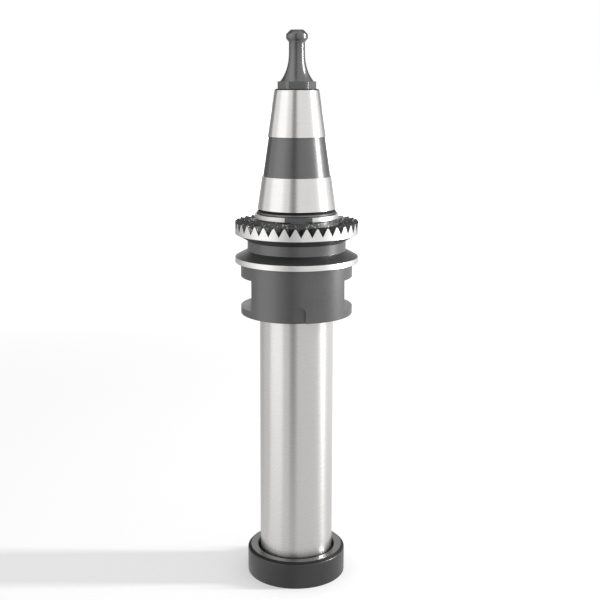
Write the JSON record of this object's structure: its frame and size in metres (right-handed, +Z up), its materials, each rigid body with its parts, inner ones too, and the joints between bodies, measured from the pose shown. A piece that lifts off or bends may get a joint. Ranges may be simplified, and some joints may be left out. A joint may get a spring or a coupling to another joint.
{
  "type": "taper tool holder",
  "caption": "Machine tool holder with a 7:24 taper, pull stud, toothed crown and gripper groove, and a long cutter shaft closed by a screwed end cap.",
  "frame": {"origin": "centre of the end cap's lower face, on which the holder stands", "axes": "+Z up the arbor's axis to the pull stud, -Y towards the milled flat and the hub slot seen in front, +X and -X out of the wrench flats"},
  "size_m": [0.05, 0.05, 0.2251],
  "materials": {
    "ground_steel": "hardened alloy steel, cylindrically ground; the hub and the grooves are black oxide",
    "blackened_steel": "hardened steel with satin black oxide",
    "polished_black_steel": "hardened steel, fine turned and black oxide, semi-gloss"
  },
  "bodies": {
    "arbor": {"arbor_body": "ground_steel", "toothed_crown": "blackened_steel", "pull_stud": "polished_black_steel", "drive_pins": "ground_steel"},
    "end_cap": {"clamp_cap": "blackened_steel"},
    "screw": {"clamp_screw": "blackened_steel"}
  },
  "joints": [
    {"name": "arbor_lift", "type": "slide", "parent": "end_cap", "child": "arbor", "axis": [0, 0, 1], "range_m": [0, 0.024]},
    {"name": "screw_turn", "type": "hinge", "parent": "end_cap", "child": "screw", "pos_m": [0, 0, 0], "axis": [0, 0, -1], "range_deg": [0, 5760]}
  ],
  "couplings": [
    {"joint": "screw_turn", "follows": "arbor_lift", "rad_per_m": 4188.8}
  ]
}
